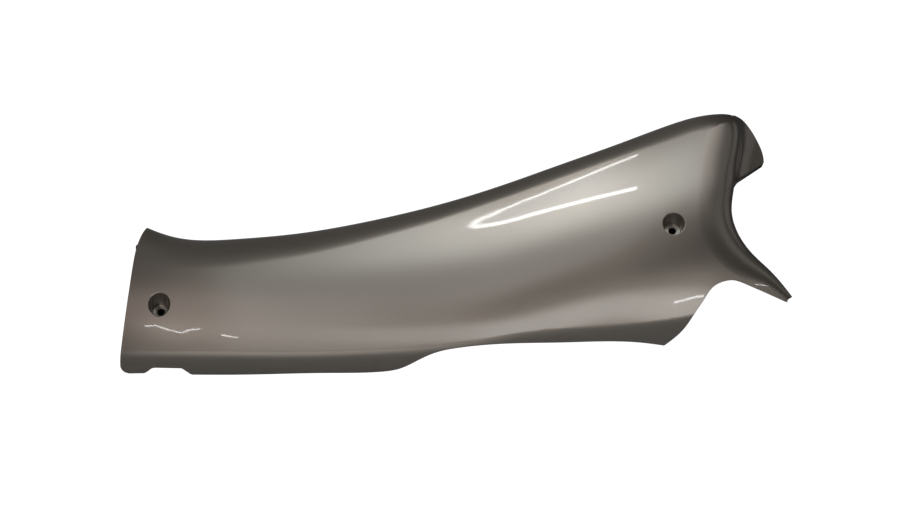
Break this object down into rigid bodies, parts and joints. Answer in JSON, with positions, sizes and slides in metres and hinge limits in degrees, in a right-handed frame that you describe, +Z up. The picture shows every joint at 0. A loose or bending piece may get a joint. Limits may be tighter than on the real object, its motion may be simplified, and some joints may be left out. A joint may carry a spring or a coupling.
{
  "type": "under side cover",
  "caption": "Long bulged body panel of a motor scooter: a moulded, painted shell with a rolled rim, a forked end and sunk screw pockets, screwed under the side of the footboard.",
  "frame": {"origin": "middle of the rear screw hole, on the seat in its pocket", "axes": "+X along the panel towards the forked end, +Z up across the panel, -Y out of the painted face"},
  "size_m": [0.5689, 0.0817, 0.2226],
  "materials": {
    "paint": "metallic warm grey paint under a gloss clear coat"
  },
  "bodies": {
    "root": {"under_side_cover": "paint"}
  },
  "joints": []
}
